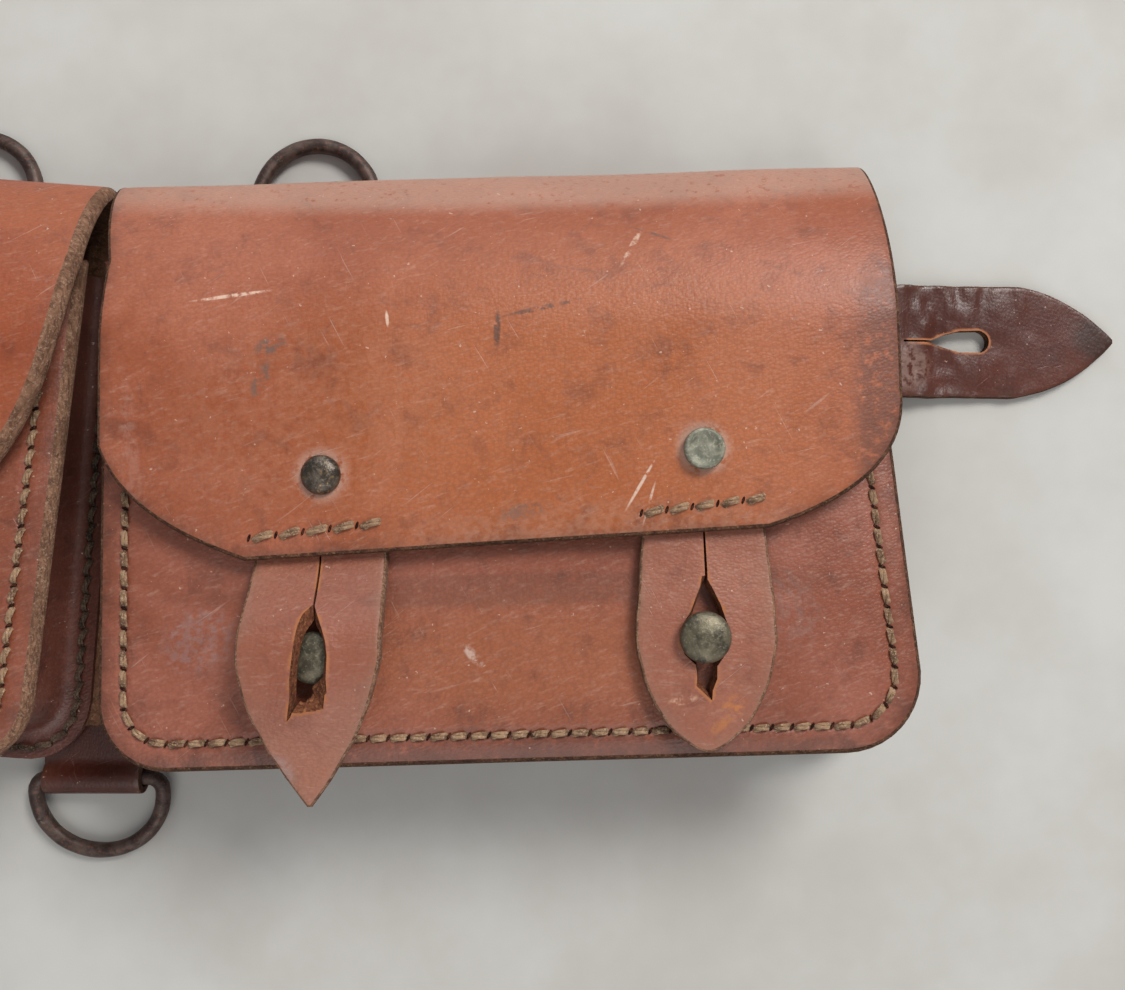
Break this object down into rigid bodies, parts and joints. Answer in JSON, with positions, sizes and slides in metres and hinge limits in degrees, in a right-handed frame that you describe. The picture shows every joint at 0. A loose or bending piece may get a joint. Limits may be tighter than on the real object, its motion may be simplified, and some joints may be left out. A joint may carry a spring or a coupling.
{
  "type": "tool belt",
  "caption": "Saddle-leather tool belt pouches with strap-and-stud flaps, hanging D-rings and keyhole end tabs, lying on their back.",
  "frame": {"origin": "centre of the whole box in X and Y, on the surface that the belt lies on", "axes": "+X along the belt to the right, +Y towards the fold that the flaps hang from, +Z out of the pouch fronts"},
  "size_m": [0.5206, 0.1958, 0.0577],
  "materials": {
    "back_leather": "satin",
    "flap_leather": "satin, worn",
    "front_leather": "satin, burnished",
    "gusset_leather": "satin",
    "strap_leather": "satin",
    "tab_leather": "satin",
    "waxed_thread": "matt",
    "rivet_bronze": "patinated",
    "stud_bronze": "patinated",
    "ring_iron": "rust patina"
  },
  "bodies": {
    "left_half": {"left_back_panel": "back_leather", "left_front_panel": "front_leather", "left_gusset": "gusset_leather", "left_front_seam": "waxed_thread", "left_rear_seam": "waxed_thread", "left_inner_stud": "stud_bronze", "left_inner_stud_washer": "stud_bronze", "left_outer_stud": "stud_bronze", "left_outer_stud_washer": "stud_bronze", "left_end_tab_root": "tab_leather", "left_end_tab_seam": "waxed_thread", "left_top_chape": "tab_leather", "left_top_chape_seam": "waxed_thread", "bottom_chape": "tab_leather", "bottom_chape_seam": "waxed_thread"},
    "right_half": {"right_back_panel": "back_leather", "right_front_panel": "front_leather", "right_gusset": "gusset_leather", "right_front_seam": "waxed_thread", "right_rear_seam": "waxed_thread", "right_inner_stud": "stud_bronze", "right_inner_stud_washer": "stud_bronze", "right_outer_stud": "stud_bronze", "right_outer_stud_washer": "stud_bronze", "right_end_tab_root": "tab_leather", "right_end_tab_seam": "waxed_thread", "right_top_chape": "tab_leather", "right_top_chape_seam": "waxed_thread"},
    "right_flap_body": {"right_flap": "flap_leather", "right_inner_strap_base": "strap_leather", "right_inner_strap_seam": "waxed_thread", "right_inner_rivet": "rivet_bronze", "right_inner_rivet_burr": "rivet_bronze", "right_outer_strap_base": "strap_leather", "right_outer_strap_seam": "waxed_thread", "right_outer_rivet": "rivet_bronze", "right_outer_rivet_burr": "rivet_bronze"},
    "right_inner_strap_tongue": {"right_inner_strap": "strap_leather"},
    "right_outer_strap_tongue": {"right_outer_strap": "strap_leather"},
    "right_end_tab_tongue": {"right_end_tab": "tab_leather"},
    "right_top_ring_body": {"right_top_ring": "ring_iron"},
    "left_flap_body": {"left_flap": "flap_leather", "left_inner_strap_base": "strap_leather", "left_inner_strap_seam": "waxed_thread", "left_inner_rivet": "rivet_bronze", "left_inner_rivet_burr": "rivet_bronze", "left_outer_strap_base": "strap_leather", "left_outer_strap_seam": "waxed_thread", "left_outer_rivet": "rivet_bronze", "left_outer_rivet_burr": "rivet_bronze"},
    "left_inner_strap_tongue": {"left_inner_strap": "strap_leather"},
    "left_outer_strap_tongue": {"left_outer_strap": "strap_leather"},
    "left_end_tab_tongue": {"left_end_tab": "tab_leather"},
    "left_top_ring_body": {"left_top_ring": "ring_iron"},
    "bottom_ring_body": {"bottom_ring": "ring_iron"}
  },
  "joints": [
    {"name": "back_fold", "type": "hinge", "parent": "left_half", "child": "right_half", "pos_m": [0.00074, 0, 0.0066], "axis": [0, 1, 0], "range_deg": [0, 50]},
    {"name": "right_flap_hinge", "type": "hinge", "parent": "right_half", "child": "right_flap_body", "pos_m": [0.0907, 0.07939, 0.021], "axis": [-0.9996, -0.0279, 0], "range_deg": [0, 150]},
    {"name": "right_inner_strap_hinge", "type": "hinge", "parent": "right_flap_body", "child": "right_inner_strap_tongue", "pos_m": [0.05694, -0.01544, 0.04615], "axis": [-0.9996, -0.0279, 0], "range_deg": [0, 70]},
    {"name": "right_outer_strap_hinge", "type": "hinge", "parent": "right_flap_body", "child": "right_outer_strap_tongue", "pos_m": [0.14421, -0.0098, 0.04615], "axis": [-0.9996, -0.0279, 0], "range_deg": [0, 90]},
    {"name": "right_top_ring_swing", "type": "hinge", "parent": "right_half", "child": "right_top_ring_body", "pos_m": [0.04625, 0.0735, 0.0043], "axis": [-0.9996, -0.0279, 0], "range_deg": [-50, 150]},
    {"name": "right_end_tab_fold", "type": "hinge", "parent": "right_half", "child": "right_end_tab_tongue", "pos_m": [0.20097, 0.04081, 0.0048], "axis": [0.0279, -0.9996, 0], "range_deg": [-80, 80]},
    {"name": "left_flap_hinge", "type": "hinge", "parent": "left_half", "child": "left_flap_body", "pos_m": [-0.08897, 0.08394, 0.021], "axis": [-0.9969, 0.0785, 0], "range_deg": [0, 150]},
    {"name": "left_inner_strap_hinge", "type": "hinge", "parent": "left_flap_body", "child": "left_inner_strap_tongue", "pos_m": [-0.06005, -0.01247, 0.04615], "axis": [-0.9969, 0.0785, 0], "range_deg": [0, 80]},
    {"name": "left_outer_strap_hinge", "type": "hinge", "parent": "left_flap_body", "child": "left_outer_strap_tongue", "pos_m": [-0.14693, -0.00243, 0.04615], "axis": [-0.9969, 0.0785, 0], "range_deg": [0, 90]},
    {"name": "left_top_ring_swing", "type": "hinge", "parent": "left_half", "child": "left_top_ring_body", "pos_m": [-0.04487, 0.07581, 0.0043], "axis": [-0.9969, 0.0785, 0], "range_deg": [-50, 150]},
    {"name": "left_end_tab_fold", "type": "hinge", "parent": "left_half", "child": "left_end_tab_tongue", "pos_m": [-0.20105, 0.05098, 0.0048], "axis": [0.0785, 0.9969, 0], "range_deg": [-80, 80]},
    {"name": "bottom_ring_swing", "type": "hinge", "parent": "left_half", "child": "bottom_ring_body", "pos_m": [-0.01186, -0.07577, 0.0043], "axis": [-1, 0, 0], "range_deg": [-150, 100]}
  ]
}
